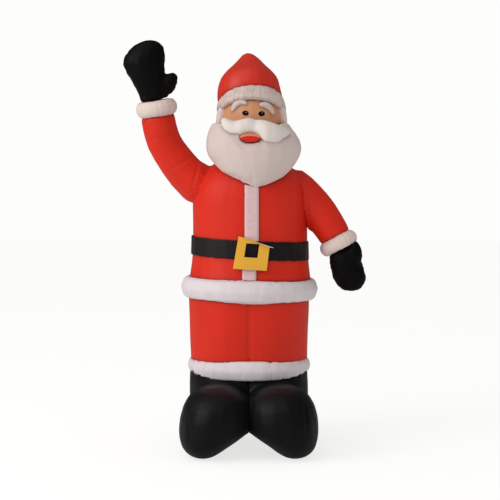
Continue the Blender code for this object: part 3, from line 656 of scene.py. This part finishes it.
class SANTA_OT_head(bpy.types.Operator):
    """Fill the head, the hair and the hat"""
    bl_idname = "santa.head"
    bl_label = "Head and hat"

    def execute(self, context):
        sizes, colours = context.scene.santa_sizes, context.scene.santa_colours
        # painted shade: the face darkens strongly to a deep brown beside the beard, brim,
        # moustache and eyebrows
        skin = cloth("face_cloth", colours.skin, (0.25, 0.10, 0.06), roughness=0.5,
                     tone=0.07, wrinkle=(8.0, 0.004), shade=0.5)
        face = cloth_copy("face", sizes.small_grid, 6)
        fill_with_air(face, skin, "skin", "face",
                      ["beard", "hat_brim", "moustache", "left_eyebrow", "right_eyebrow"])

        white = cloth("hair_cloth", colours.brim, WHITE_SEAM_AND_SHADE, roughness=0.6,
                      tone=0.06, wrinkle=(10.0, 0.006))
        hair = cloth_copy("hair", sizes.middle_grid, 5)
        push(hair, lambda co, n: 0.003 * soft_bumps(co, 0.09, 21.0))
        fill_with_air(hair, white, "trim_white", "hair", ["coat", "beard", "hat_brim"])

        red = cloth("hat_cloth", colours.hat_red, RED_SEAM_AND_SHADE, roughness=0.45, gloss=0.38,
                    wrinkle=(9.0, 0.008), stretch=(1.0, 1.0, 0.6))
        hat = cloth_copy("hat", sizes.middle_grid, 9)
        push(hat, lambda co, n: 0.003 * soft_bumps(co, 0.11, 31.0))
        fill_with_air(hat, red, "suit_red", "hat", ["hat_brim"])
        return {"FINISHED"}


class SANTA_OT_beard(bpy.types.Operator):
    """Fill the beard, the moustache, the eyebrows and the mouth"""
    bl_idname = "santa.beard"
    bl_label = "Beard and moustache"

    def execute(self, context):
        sizes, colours = context.scene.santa_sizes, context.scene.santa_colours
        # painted shade: this cloth darkens to a greyer white beside the coat, moustache, face and
        # mouth, and on the eyebrows beside the face and brim
        white = cloth("beard_cloth", colours.beard, (0.40, 0.26, 0.24), roughness=0.6, tone=0.05,
                      wrinkle=(7.0, 0.008))
        beard = cloth_copy("beard", sizes.middle_grid, 9)
        puff(beard, sizes)

        # the beard narrows to a tip: where it is, how wide, and how far it hangs down
        tip_x, tip_width, tip_drop = 0.022, 0.078, 0.034
        tip_top, tip_height = 1.600, 0.084
        for vertex in beard.data.vertices:
            low_end = max(0.0, tip_top - vertex.co.z) / tip_height
            beside = math.exp(-((vertex.co.x - FIGURE_X - tip_x) / tip_width) ** 2)
            vertex.co.z -= tip_drop * beside * low_end ** 2

        def beard_folds(co, normal):
            middle_line = crease_line(co, (tip_x, 1.500), (0.012, 1.640), 0.010, 0.005)
            return -0.001 + middle_line * max(0.0, -normal.y) + 0.003 * soft_bumps(co, 0.1, 41.0)
        push(beard, beard_folds)
        fill_with_air(beard, white, "beard_white", "beard",
                      ["coat", "moustache", "face", "mouth"])

        # painted shade: the moustache darkens to a greyer white beside the beard, face and mouth
        fluff = cloth("moustache_cloth", colours.moustache, (0.40, 0.24, 0.20), roughness=0.6,
                      tone=0.05, wrinkle=(14.0, 0.005))
        moustache = cloth_copy("moustache", sizes.small_grid, 5)
        fill_hollows(moustache, 2)
        puff(moustache, sizes)

        def lobes(co, normal):
            """The left lobe hangs fuller than the right one, and both swell forward."""
            across = co.x - FIGURE_X
            left = math.exp(-((across - 0.125) / 0.060) ** 4)
            right = math.exp(-((across + 0.085) / 0.055) ** 4)
            drop = max(0.0, -normal.z) * (0.020 * left + 0.006 * right)
            swell = max(0.0, -normal.y) * (0.008 * left + 0.006 * right)
            return 0.002 + drop + swell + 0.002 * soft_bumps(co, 0.05, 51.0)
        push(moustache, lobes)
        apply_modifier(moustache, "SMOOTH", factor=0.5, iterations=12)
        fill_with_air(moustache, fluff, "beard_white", "moustache", ["beard", "face", "mouth"])
        for side in ("right", "left"):
            node = side + "_eyebrow"
            brow = cloth_copy(node, 0.004, 3)
            push(brow, lambda co, n: 0.004)
            fill_with_air(brow, white, "beard_white", node, ["face", "hat_brim"], 0.012)

        # painted shade: the mouth darkens to a deep red beside the beard and moustache
        red = cloth("lip_cloth", colours.lip, (0.20, 0.01, 0.01), roughness=0.5, sheen=0.02,
                    wrinkle=(12.0, 0.003))
        upper_colour(red, (0.60, 0.22, 0.12), 1.8455, 3.6)
        mouth = cloth_copy("mouth", 0.005, 2)
        lip_z = middle("mouth").z
        for vertex in mouth.data.vertices:
            above = max(0.0, vertex.co.z - lip_z)
            vertex.co.y += 0.5 * above
            vertex.co.z -= 0.2 * above
        fill_with_air(mouth, red, "lip_red", "mouth", ["beard", "moustache"], 0.015)
        return {"FINISHED"}


class SANTA_OT_hands(bpy.types.Operator):
    """Fill the two black mittens"""
    bl_idname = "santa.hands"
    bl_label = "Mittens"

    def execute(self, context):
        sizes, colours = context.scene.santa_sizes, context.scene.santa_colours
        black = cloth("mitten_cloth", colours.glove, BLACK_SEAM_AND_SHADE, roughness=0.48,
                      sheen=0.01, gloss=0.09, tone=0.2, wrinkle=(11.0, 0.008),
                      stretch=(1.0, 1.0, 0.7))
        for side in ("right", "left"):
            node = side + "_mitten"
            mitten = cloth_copy(node, sizes.small_grid, 10)
            fill_hollows(mitten, 60)
            puff(mitten, sizes)
            centre = middle(node)
            lines = (((-0.600, 2.250), (-0.500, 2.262)), ((-0.665, 2.112), (-0.615, 2.070)),
                     ((0.575, 1.100), (0.640, 1.112)))

            def seam_gathers(co, normal):
                beside = math.exp(-abs(co.y - centre.y) / 0.022) * (1.0 - abs(normal.y)) ** 0.5
                angle = math.atan2(co.z - centre.z, co.x - centre.x)
                folds = ring_fold(angle, 0.13, sizes.gather_pitch * 1.6, len(side) * 2.0)
                creases = sum(crease_line(co, *line, 0.006, 0.006) for line in lines)
                return 1.2 * sizes.gather_depth * beside * folds + creases * max(0.0, -normal.y)
            push(mitten, seam_gathers)
            fill_with_air(mitten, black, "glove_black", node, [side + "_cuff"])
        return {"FINISHED"}


class SANTA_OT_boots(bpy.types.Operator):
    """Fill the two black boots"""
    bl_idname = "santa.boots"
    bl_label = "Boots"

    def execute(self, context):
        sizes, colours = context.scene.santa_sizes, context.scene.santa_colours
        # painted shade: the boots darken beside the trouser roll and beside each other
        black = cloth("boot_cloth", colours.boot, (0.003, 0.003, 0.003), roughness=0.45,
                      sheen=0.01, gloss=0.16, tone=0.25, wrinkle=(6.0, 0.010),
                      stretch=(1.0, 0.7, 1.0))
        # side seams of the toes, and a short crease on one of them
        seams = (((-0.348, 0.385), (-0.338, 0.120)), ((0.314, 0.385), (0.318, 0.120)),
                 ((0.135, 0.352), (0.180, 0.360)))
        # the plane where the boots meet, how near it they flatten, and the gap they leave
        meet_x, meet_reach, meet_gap = -0.006, 0.012, 0.0005
        for side in ("right", "left"):
            node = side + "_boot"
            boot = cloth_copy(node, sizes.middle_grid, 18)
            fill_hollows(boot, 25)
            facing = 1.0 if side == "left" else -1.0
            for vertex in boot.data.vertices:
                away = (vertex.co.x - FIGURE_X - meet_x) * facing
                if away < meet_reach:
                    vertex.co.x -= facing * max(0.0, away - meet_gap) * 0.8

            def boot_folds(co, normal):
                lines = sum(crease_line(co, *line, 0.007, 0.005) for line in seams)
                waves = 0.004 * soft_bumps(co, 0.16, 61.0) * min(1.0, co.z / 0.05)
                return 0.001 + waves + lines * max(0.0, -normal.y)
            push(boot, boot_folds)
            other = "left_boot" if side == "right" else "right_boot"
            fill_with_air(boot, black, "boot_black", node, ["trouser_trim", other])
        return {"FINISHED"}


class SANTA_OT_bands(bpy.types.Operator):
    """Sew on the belt and the white bands down the front"""
    bl_idname = "santa.bands"
    bl_label = "Belt and front bands"

    def execute(self, context):
        sizes, colours = context.scene.santa_sizes, context.scene.santa_colours
        black = cloth("belt_cloth", colours.belt, BLACK_SEAM_AND_SHADE, roughness=0.5, gloss=0.3, tone=0.2,
                      wrinkle=(6.0, 0.006), shade=0.0)
        belt = cloth_copy("belt", sizes.band_grid, 2)
        mark_seams(belt, [])
        shade_smooth(belt)
        dress(belt, black, "belt_black", "belt")

        # painted shade: the bands darken to pink beside the coat
        white = cloth("band_cloth", colours.band, (0.42, 0.16, 0.14), roughness=0.6,
                      tone=0.08, wrinkle=(16.0, 0.005), stretch=(0.25, 0.25, 1.0))
        for node in ("front_trim_upper", "front_trim_lower"):
            band = cloth_copy(node, sizes.band_grid, 2)
            centre_x = middle(node).x

            def puckers(co, normal):
                inside = math.exp(-((co.x - centre_x) / 0.022) ** 2) * max(0.0, -normal.y)
                return 0.0035 * inside * fold(co.z, 0.022, 3.3, 0.35)
            push(band, puckers)
            shade_smooth(band)
            mark_seams(band, ["coat"], 0.014)
            dress(band, white, "trim_white", node)
        return {"FINISHED"}


class SANTA_OT_buckle(bpy.types.Operator):
    """Cut the yellow buckle from a sheet of cloth and fold its corner forward"""
    bl_idname = "santa.buckle"
    bl_label = "Buckle"

    def execute(self, context):
        sizes, colours = context.scene.santa_sizes, context.scene.santa_colours
        yellow = cloth("buckle_cloth", colours.buckle, (0.66, 0.60, 0.54), roughness=0.42,
                       tone=0.06, wrinkle=(9.0, 0.004), shade=0.0, line=1.0)
        low, high = (Vector(corner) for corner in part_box("buckle"))
        bpy.ops.object.select_all(action="DESELECT")
        bpy.ops.mesh.primitive_grid_add(x_subdivisions=40, y_subdivisions=40, size=1.0)
        buckle = context.object
        buckle.name = "buckle_sheet"
        bpy.ops.object.mode_set(mode="EDIT")
        bpy.ops.mesh.select_all(action="DESELECT")
        bm = bmesh.from_edit_mesh(buckle.data)
        for face in bm.faces:
            centre = face.calc_center_median()
            face.select_set(-0.225 < centre.x < 0.175 and -0.125 < centre.y < 0.300)
        bmesh.update_edit_mesh(buckle.data)
        bpy.ops.mesh.delete(type="FACE")
        bpy.ops.object.mode_set(mode="OBJECT")

        top_left = Vector((-0.066, 1.268))
        top_right = Vector((0.120, 1.256))
        bottom_left = Vector((-0.098, 1.082))
        bottom_right = Vector((0.096, 1.069))
        fold_start, fold_end = Vector((-0.048, 1.262)), Vector((0.106, 1.208))
        along = (fold_end - fold_start).normalized()
        up = Vector((-along.y, along.x))
        pale = buckle.data.attributes.new("seam", "FLOAT", "POINT")
        for vertex in buckle.data.vertices:
            u, v = vertex.co.x + 0.5, vertex.co.y + 0.5
            left = bottom_left.lerp(top_left, v)
            right = bottom_right.lerp(top_right, v)
            flat = left.lerp(right, u)
            bulge = 0.004 * math.sin(math.pi * u) + 0.003 * math.sin(5.0 * u + 3.0 * v)
            depth = low.y + 0.004 + (high.y - low.y - 0.008) * v ** 1.4 - bulge
            over = (flat - fold_start).dot(up)
            if over > 0.0:
                foot = flat - up * over
                flat = foot + up * over * 0.10 + along * over * 0.62
                depth -= over * 0.85
                pale.data[vertex.index].value = min(1.0, 0.8 + 12.0 * over * (u - 0.35))
            vertex.co = (FIGURE_X + flat.x, depth, flat.y)
        buckle.data.update()
        apply_modifier(buckle, "SOLIDIFY", thickness=0.0025, offset=0.0)
        apply_modifier(buckle, "BEVEL", width=0.0006, segments=1, limit_method="ANGLE")
        only(buckle)
        bpy.ops.object.shade_smooth_by_angle(angle=math.radians(50))
        dress(buckle, yellow, "buckle_yellow", "buckle")
        return {"FINISHED"}


def eye_material():
    """Printed eye: black oval with a brown ring and a small white catchlight."""
    material = bpy.data.materials.new("eye_print")
    material.use_nodes = True
    nodes, links = material.node_tree.nodes, material.node_tree.links
    shader = nodes["Principled BSDF"]
    print_map = put(nodes, "ShaderNodeAttribute", attribute_name="print")
    split = put(nodes, "ShaderNodeSeparateXYZ")
    links.new(print_map.outputs["Vector"], split.inputs[0])

    def spot(x, z, radius, soft):
        """1 inside a round spot of the print, 0 outside it."""
        dx = maths(nodes, links, "SUBTRACT", split.outputs["X"], x)
        dz = maths(nodes, links, "SUBTRACT", split.outputs["Z"], z)
        square = maths(nodes, links, "ADD", maths(nodes, links, "MULTIPLY", dx, dx),
                       maths(nodes, links, "MULTIPLY", dz, dz))
        away = maths(nodes, links, "SQRT", square, 0.0)
        edge = put(nodes, "ShaderNodeMapRange", interpolation_type="SMOOTHSTEP",
                   from_min=radius - soft, from_max=radius + soft, to_min=1.0, to_max=0.0)
        links.new(away, edge.inputs["Value"])
        return edge.outputs["Result"]

    def layer(under, mask, paint):
        mix = put(nodes, "ShaderNodeMix", data_type="RGBA")
        links.new(mask, mix.inputs["Factor"])
        if isinstance(under, tuple):
            mix.inputs["A"].default_value = under
        else:
            links.new(under, mix.inputs["A"])
        mix.inputs["B"].default_value = paint
        return mix.outputs["Result"]

    rim = layer((0.030, 0.012, 0.008, 1.0), spot(0.0, 0.0, 0.86, 0.08), (0.002, 0.002, 0.002, 1))
    ring = layer(rim, spot(0.10, -0.35, 0.34, 0.20), (0.016, 0.007, 0.005, 1.0))
    shine = layer(ring, spot(0.20, 0.34, 0.11, 0.05), (0.75, 0.72, 0.68, 1.0))
    links.new(shine, shader.inputs["Base Color"])
    weave = place_group(nodes, "cloth_weave", weave_group)
    links.new(put(nodes, "ShaderNodeTexCoord").outputs["Object"], weave.inputs["Place"])
    bump = put(nodes, "ShaderNodeBump", strength=0.2, distance=0.0003)
    links.new(weave.outputs["Height"], bump.inputs["Height"])
    links.new(bump.outputs["Normal"], shader.inputs["Normal"])
    shader.inputs["Roughness"].default_value = 0.4
    shader.inputs["Specular IOR Level"].default_value = 0.1
    return material


class SANTA_OT_eyes(bpy.types.Operator):
    """Print the two eyes as thin ovals that lie on the face"""
    bl_idname = "santa.eyes"
    bl_label = "Eyes"

    def execute(self, context):
        sizes = context.scene.santa_sizes
        material = eye_material()
        skin = tree(bpy.data.objects["face_cloth"].data)
        lift, thickness = 0.0008, 0.0012
        for side, across, up, lean in (("right", -0.026, 1.978, 0.15),
                                       ("left", 0.067, 1.975, -0.10)):
            bpy.ops.object.select_all(action="DESELECT")
            bpy.ops.mesh.primitive_circle_add(vertices=48, radius=1.0, fill_type="NGON")
            eye = bpy.context.object
            eye.name = side + "_eye"
            bpy.ops.object.mode_set(mode="EDIT")
            bpy.ops.mesh.select_all(action="SELECT")
            for _ in range(5):
                bpy.ops.mesh.inset(thickness=0.18, depth=0.0)
            bpy.ops.object.mode_set(mode="OBJECT")
            turn = Matrix.Rotation(lean, 3, "Y")
            mesh = eye.data
            printed = mesh.attributes.new("print", "FLOAT_VECTOR", "POINT")
            for vertex in mesh.vertices:
                flat = Vector((vertex.co.x, 0.0, vertex.co.y))
                printed.data[vertex.index].vector = flat
                spread = turn @ Vector((flat.x * sizes.eye_width / 2, 0.0,
                                        flat.z * sizes.eye_height / 2))
                start = Vector((FIGURE_X + across, FIGURE_Y - 1.0, up)) + spread
                hit, normal = skin.ray_cast(start, Vector((0.0, 1.0, 0.0)))[:2]
                if hit is None:
                    raise RuntimeError("an eye misses the face")
                vertex.co = hit + normal * lift
            mesh.update()
            apply_modifier(eye, "SOLIDIFY", thickness=thickness, offset=0.0)
            shade_smooth(eye)
            dress(eye, material, "glove_black")
        return {"FINISHED"}


def dimmed(nodes, links, strength, share):
    """A light's strength, less a share of it where glossy cloth mirrors it."""
    glossy = put(nodes, "ShaderNodeLightPath").outputs["Is Glossy Ray"]
    loss = maths(nodes, links, "MULTIPLY", glossy, -strength * share)
    return maths(nodes, links, "ADD", loss, strength)


class SANTA_OT_studio(bpy.types.Operator):
    """Lay the pale floor, hang the soft lights and set the camera"""
    bl_idname = "santa.studio"
    bl_label = "Studio"

    def execute(self, context):
        studio = context.scene.santa_studio
        bpy.ops.object.select_all(action="DESELECT")
        bpy.ops.mesh.primitive_plane_add(size=2.0)
        floor = context.object
        floor.name = "floor"
        floor.data.transform(Matrix.Scale(studio.floor_size, 4))
        paint = bpy.data.materials.new("pale_floor")
        paint.use_nodes = True
        shader = paint.node_tree.nodes["Principled BSDF"]
        shader.inputs["Base Color"].default_value = (0.27, 0.27, 0.265, 1.0)
        shader.inputs["Roughness"].default_value = 0.95
        shader.inputs["Specular IOR Level"].default_value = 0.0
        shader.inputs["Emission Color"].default_value = (1.0, 1.0, 0.985, 1.0)
        nodes, links = paint.node_tree.nodes, paint.node_tree.links
        links.new(dimmed(nodes, links, studio.floor_glow, studio.dark_mirror),
                  shader.inputs["Emission Strength"])
        floor.data.materials.append(paint)

        world = bpy.data.worlds.new("studio_air")
        world.use_nodes = True
        nodes, links = world.node_tree.nodes, world.node_tree.links
        seen = nodes["Background"]
        seen.inputs["Color"].default_value = (1.0, 1.0, 0.985, 1.0)
        seen.inputs["Strength"].default_value = 0.985
        air = put(nodes, "ShaderNodeBackground")
        air.inputs["Color"].default_value = (1.0, 0.99, 0.98, 1.0)
        links.new(dimmed(nodes, links, studio.air_light, studio.dark_mirror),
                  air.inputs["Strength"])
        choose = put(nodes, "ShaderNodeMixShader")
        path = put(nodes, "ShaderNodeLightPath")
        links.new(path.outputs["Is Camera Ray"], choose.inputs["Fac"])
        links.new(air.outputs[0], choose.inputs[1])
        links.new(seen.outputs[0], choose.inputs[2])
        links.new(choose.outputs[0], nodes["World Output"].inputs["Surface"])
        context.scene.world = world

        def soft_light(name, place, target, size, power, tint):
            bpy.ops.object.light_add(type="AREA", location=place)
            lamp = context.object
            lamp.name = name
            lamp.data.shape = "DISK"
            lamp.data.size = size
            lamp.data.energy = power
            lamp.data.color = tint
            aim = Vector(target) - Vector(place)
            lamp.rotation_euler = aim.to_track_quat("-Z", "Y").to_euler()
        soft_light("key", (-6.0, -3.4, 4.2), (0.0, 0.0, 1.3), 3.6, studio.key_watts,
                   (1.0, 0.985, 0.965))
        bpy.ops.object.light_add(type="SUN", rotation=(math.radians(25), math.radians(-30), 0.0))
        sky = context.object
        sky.name = "sky_panel"
        sky.data.energy = studio.sky_light
        sky.data.angle = math.radians(75)

        bpy.ops.object.camera_add(location=(FIGURE_X, FIGURE_Y - studio.camera_distance,
                                            studio.camera_height))
        camera = context.object
        camera.name = "camera"
        camera.rotation_euler = (math.pi / 2 - studio.horizon_drop, 0.0, 0.0)
        camera.data.lens = studio.lens_mm
        camera.data.sensor_width = 36.0
        camera.data.clip_end = 100.0
        context.scene.camera = camera
        context.scene.view_settings.view_transform = "Standard"
        return {"FINISHED"}


STEPS = (SANTA_OT_suit, SANTA_OT_rolls, SANTA_OT_head, SANTA_OT_beard, SANTA_OT_eyes,
         SANTA_OT_hands, SANTA_OT_boots, SANTA_OT_bands, SANTA_OT_buckle, SANTA_OT_studio)


class SANTA_PT_sidebar(bpy.types.Panel):
    """Lists the steps that dress the santa"""
    bl_idname = "SANTA_PT_sidebar"
    bl_label = "Inflatable santa"
    bl_space_type = "VIEW_3D"
    bl_region_type = "UI"
    bl_category = "Santa"

    def draw(self, context):
        column = self.layout.column()
        for step in STEPS:
            column.operator(step.bl_idname)
        for group in (context.scene.santa_colours, context.scene.santa_sizes,
                      context.scene.santa_studio):
            for name in group.__annotations__:
                column.prop(group, name)


GROUPS = (("santa_colours", ClothColours), ("santa_sizes", ClothSizes),
          ("santa_studio", StudioSizes))


def register():
    for name, group in GROUPS:
        bpy.utils.register_class(group)
        setattr(bpy.types.Scene, name, PointerProperty(type=group))
    for item in (*STEPS, SANTA_PT_sidebar):
        bpy.utils.register_class(item)


def unregister():
    for item in reversed((*STEPS, SANTA_PT_sidebar)):
        bpy.utils.unregister_class(item)
    for name, group in reversed(GROUPS):
        delattr(bpy.types.Scene, name)
        bpy.utils.unregister_class(group)


def main():
    register()
    for step in STEPS:
        group, name = step.bl_idname.split(".")
        getattr(getattr(bpy.ops, group), name)()


if __name__ == "__main__":
    main()
